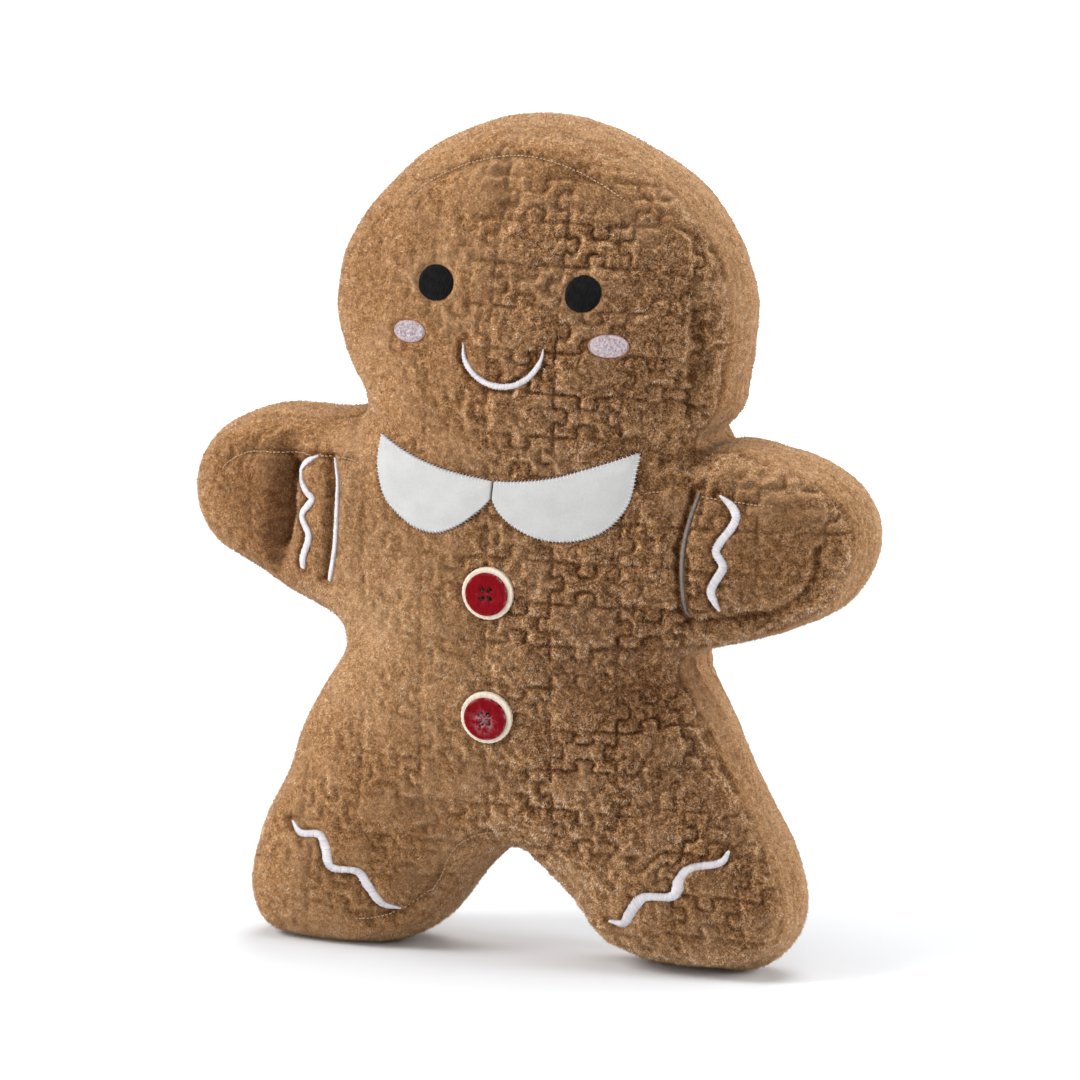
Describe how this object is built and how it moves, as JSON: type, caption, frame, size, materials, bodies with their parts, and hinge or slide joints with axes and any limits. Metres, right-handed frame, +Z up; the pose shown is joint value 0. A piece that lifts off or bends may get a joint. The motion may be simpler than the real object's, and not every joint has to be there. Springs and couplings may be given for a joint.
{
  "type": "stuffed plush gingerbread man",
  "caption": "Soft stuffed gingerbread man toy in embossed plush, with embroidered face, felt collar, wooden buttons and satin stitched icing lines.",
  "frame": {"origin": "on the floor, under the middle of the toy's width and depth", "axes": "+Z up along the toy's height, face and buttons look along -Y, +X is to the right of someone looking at the face"},
  "size_m": [0.3376, 0.139, 0.4045],
  "materials": {
    "plush": "short soft pile, embossed",
    "black_thread": "satin stitched thread",
    "pink_thread": "satin stitched thread",
    "white_thread": "satin stitched thread",
    "felt": "matt felt",
    "red_wood": "stained and lacquered face, bare rim"
  },
  "bodies": {
    "root": {"plush_body": "plush", "eye_left": "black_thread", "eye_right": "black_thread", "cheek_left": "pink_thread", "cheek_right": "pink_thread", "smile": "white_thread", "collar_left": "felt", "collar_right": "felt", "sleeve_line_left": "white_thread", "sleeve_line_right": "white_thread", "sleeve_wave_left": "white_thread", "sleeve_wave_right": "white_thread", "leg_wave_left": "white_thread", "leg_wave_right": "white_thread", "button_upper": "red_wood", "button_lower": "red_wood"}
  },
  "joints": []
}
